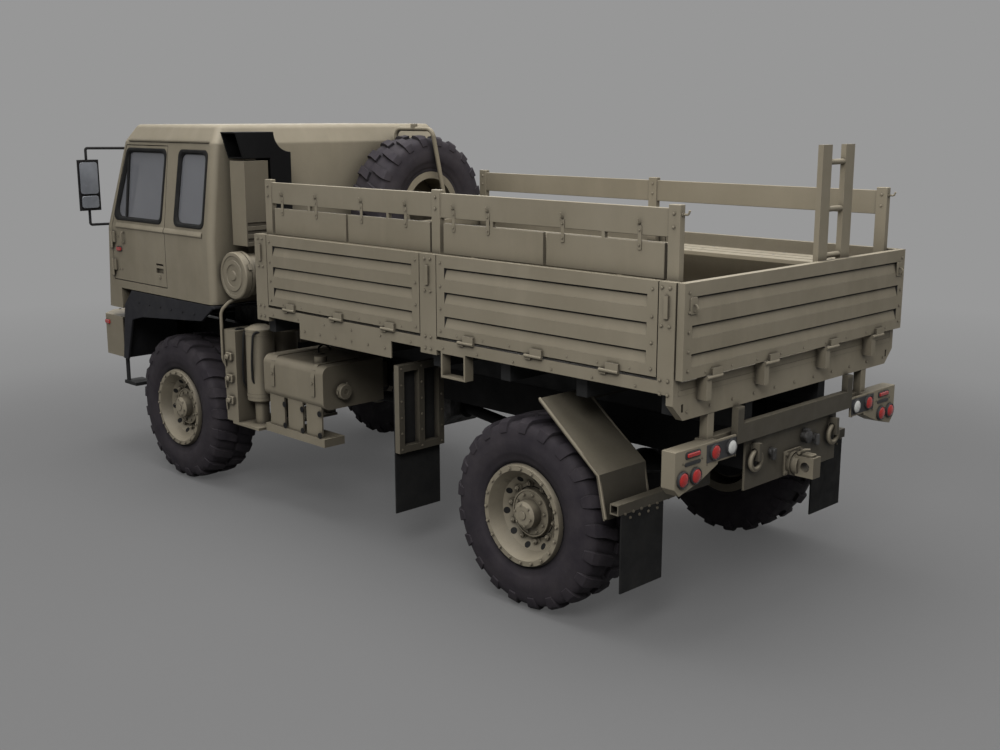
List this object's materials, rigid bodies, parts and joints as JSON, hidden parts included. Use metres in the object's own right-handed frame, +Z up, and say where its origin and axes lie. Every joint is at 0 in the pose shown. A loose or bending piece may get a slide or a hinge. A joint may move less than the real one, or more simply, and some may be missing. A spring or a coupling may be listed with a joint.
{
  "type": "military cargo truck",
  "caption": "Military cargo truck: tilting cab-over cab with doors, steered front wheels, drop-side bed with tailgate, racks, bench and boarding ladder, spare wheel on a carrier.",
  "frame": {"origin": "on the ground under the middle of the truck's length and width", "axes": "+X forward, +Y to the truck's left, +Z up"},
  "size_m": [6.447, 2.85, 2.85],
  "materials": {
    "tan_paint": "matt sand paint",
    "wheel_paint": "matt sand paint",
    "black_metal": "matt black paint",
    "cast_metal": "painted casting",
    "tyre_rubber": "dry rubber",
    "flap_rubber": "matt rubber sheet",
    "window_glass": "clear, faintly grey",
    "lamp_glass": "clear lens",
    "lamp_red": "red lens",
    "dark_plastic": "grained",
    "seat_cloth": "woven"
  },
  "bodies": {
    "chassis": {"air_cleaner": "tan_paint", "air_duct": "black_metal", "air_tanks": "tan_paint", "battery_box": "tan_paint", "bed_floor": "tan_paint", "bed_front_wall": "tan_paint", "bed_posts": "tan_paint", "bench_right": "tan_paint", "chassis_frame": "black_metal", "engine_block": "cast_metal", "exhaust": "black_metal", "front_axle": "black_metal", "front_bumper": "tan_paint", "front_fenders": "black_metal", "fuel_tank": "tan_paint", "gearboxes": "cast_metal", "headlamps": "lamp_glass", "lamp_brackets": "tan_paint", "leaf_springs": "black_metal", "mud_flaps": "flap_rubber", "mudguards": "tan_paint", "propeller_shafts": "black_metal", "rear_axle": "black_metal", "rear_lamps": "lamp_red", "rear_sill": "tan_paint", "rim_spare": "wheel_paint", "side_racks": "tan_paint", "spare_carrier": "tan_paint", "tow_frame": "tan_paint", "towing_hooks": "tan_paint", "tyre_spare": "tyre_rubber"},
    "cab": {"cab_shell": "tan_paint", "cab_roof": "tan_paint", "cab_glass": "window_glass", "grille": "black_metal", "seats": "seat_cloth", "dashboard": "dark_plastic", "mirrors": "black_metal"},
    "door_left": {"door_left": "tan_paint", "door_glass_left": "window_glass"},
    "door_right": {"door_right": "tan_paint", "door_glass_right": "window_glass"},
    "knuckle_left": {"knuckle_left": "black_metal"},
    "knuckle_right": {"knuckle_right": "black_metal"},
    "wheel_front_left": {"tyre_front_left": "tyre_rubber", "rim_front_left": "wheel_paint"},
    "wheel_front_right": {"tyre_front_right": "tyre_rubber", "rim_front_right": "wheel_paint"},
    "wheel_rear_left": {"tyre_rear_left": "tyre_rubber", "rim_rear_left": "wheel_paint"},
    "wheel_rear_right": {"tyre_rear_right": "tyre_rubber", "rim_rear_right": "wheel_paint"},
    "tailgate": {"tailgate": "tan_paint", "ladder": "tan_paint"},
    "side_front_left": {"side_front_left": "tan_paint"},
    "side_rear_left": {"side_rear_left": "tan_paint"},
    "side_front_right": {"side_front_right": "tan_paint"},
    "side_rear_right": {"side_rear_right": "tan_paint"}
  },
  "joints": [
    {"name": "steer_left", "type": "hinge", "parent": "chassis", "child": "knuckle_left", "pos_m": [1.91, 0.8, 0.59], "axis": [0, 0, 1], "range_deg": [-28, 28]},
    {"name": "steer_right", "type": "hinge", "parent": "chassis", "child": "knuckle_right", "pos_m": [1.91, -0.8, 0.59], "axis": [0, 0, 1], "range_deg": [-28, 28]},
    {"name": "wheel_front_left_spin", "type": "hinge", "parent": "knuckle_left", "child": "wheel_front_left", "pos_m": [1.91, 1.0075, 0.59], "axis": [0, 1, 0], "continuous": true},
    {"name": "wheel_front_right_spin", "type": "hinge", "parent": "knuckle_right", "child": "wheel_front_right", "pos_m": [1.91, -1.0075, 0.59], "axis": [0, 1, 0], "continuous": true},
    {"name": "wheel_rear_left_spin", "type": "hinge", "parent": "chassis", "child": "wheel_rear_left", "pos_m": [-1.99, 1.0075, 0.59], "axis": [0, 1, 0], "continuous": true},
    {"name": "wheel_rear_right_spin", "type": "hinge", "parent": "chassis", "child": "wheel_rear_right", "pos_m": [-1.99, -1.0075, 0.59], "axis": [0, 1, 0], "continuous": true},
    {"name": "cab_tilt", "type": "hinge", "parent": "chassis", "child": "cab", "pos_m": [2.93, 0, 1.27], "axis": [0, 1, 0], "range_deg": [0, 55]},
    {"name": "door_left_swing", "type": "hinge", "parent": "cab", "child": "door_left", "pos_m": [2.788, 1.236, 1.8], "axis": [0, 0, -1], "range_deg": [0, 70]},
    {"name": "door_right_swing", "type": "hinge", "parent": "cab", "child": "door_right", "pos_m": [2.788, -1.236, 1.8], "axis": [0, 0, 1], "range_deg": [0, 70]},
    {"name": "tailgate_drop", "type": "hinge", "parent": "chassis", "child": "tailgate", "pos_m": [-3.119, 0, 1.561], "axis": [0, -1, 0], "range_deg": [0, 165]},
    {"name": "side_front_left_drop", "type": "hinge", "parent": "chassis", "child": "side_front_left", "pos_m": [-0.2, 1.18, 1.561], "axis": [-1, 0, 0], "range_deg": [0, 160]},
    {"name": "side_rear_left_drop", "type": "hinge", "parent": "chassis", "child": "side_rear_left", "pos_m": [-2.1, 1.18, 1.561], "axis": [-1, 0, 0], "range_deg": [0, 160]},
    {"name": "side_front_right_drop", "type": "hinge", "parent": "chassis", "child": "side_front_right", "pos_m": [-0.2, -1.18, 1.561], "axis": [1, 0, 0], "range_deg": [0, 160]},
    {"name": "side_rear_right_drop", "type": "hinge", "parent": "chassis", "child": "side_rear_right", "pos_m": [-2.1, -1.18, 1.561], "axis": [1, 0, 0], "range_deg": [0, 160]}
  ],
  "couplings": [
    {"joint": "steer_right", "follows": "steer_left", "ratio": 1}
  ]
}
